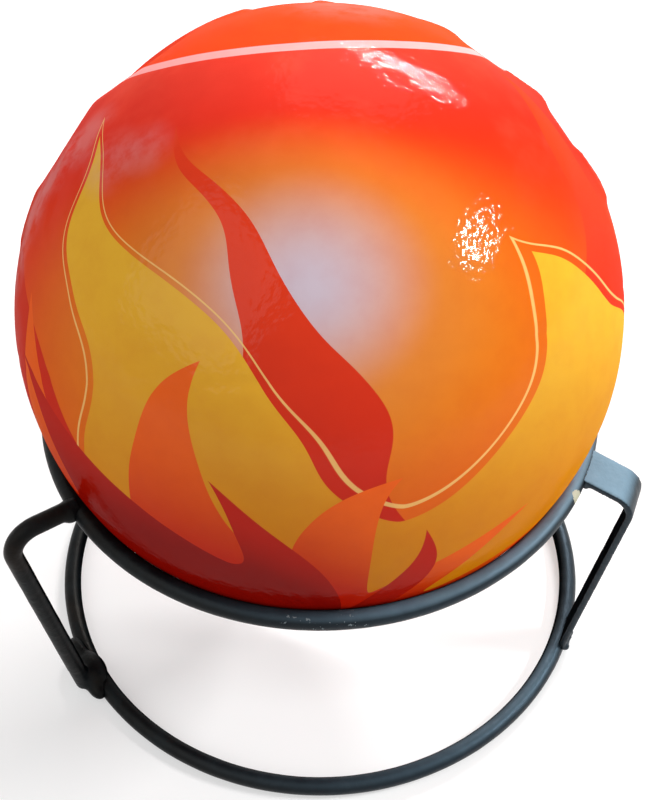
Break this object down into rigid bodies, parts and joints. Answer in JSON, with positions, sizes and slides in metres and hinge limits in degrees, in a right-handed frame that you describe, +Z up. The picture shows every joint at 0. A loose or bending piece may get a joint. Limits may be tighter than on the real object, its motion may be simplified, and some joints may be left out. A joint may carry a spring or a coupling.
{
  "type": "fire extinguisher ball on wire stand",
  "caption": "Round film-wrapped powder ball that bursts in a fire, resting in a welded black wire stand with a base ring, an upper ring and bent legs.",
  "frame": {"origin": "centre of the base ring at floor level", "axes": "+Z up through the middle of both rings and the ball, -Y towards the front of the ball's print, +X to its right"},
  "size_m": [0.1632, 0.1633, 0.1851],
  "materials": {
    "printed_film": "glossy shrink film printed in flame colours",
    "foam": "white expanded foam",
    "dry_powder": "loose pale yellow powder",
    "card_tube": "plain brown card",
    "paper_wad": "packed paper",
    "charge_paper": "red paper wrap",
    "fuse_cord": "lacquered woven cord",
    "black_paint": "thick semi-gloss black paint over welded mild steel"
  },
  "bodies": {
    "root": {"film_wrap": "printed_film", "shell_upper": "foam", "shell_lower": "foam", "powder_fill": "dry_powder", "charge_tube": "card_tube", "tube_wad": "paper_wad", "tube_plug": "foam", "burst_charge": "charge_paper", "fuse_right": "fuse_cord", "fuse_rear": "fuse_cord", "fuse_left": "fuse_cord", "upper_ring": "black_paint", "base_ring": "black_paint", "leg_left": "black_paint", "leg_right": "black_paint", "leg_rear": "black_paint"}
  },
  "joints": []
}
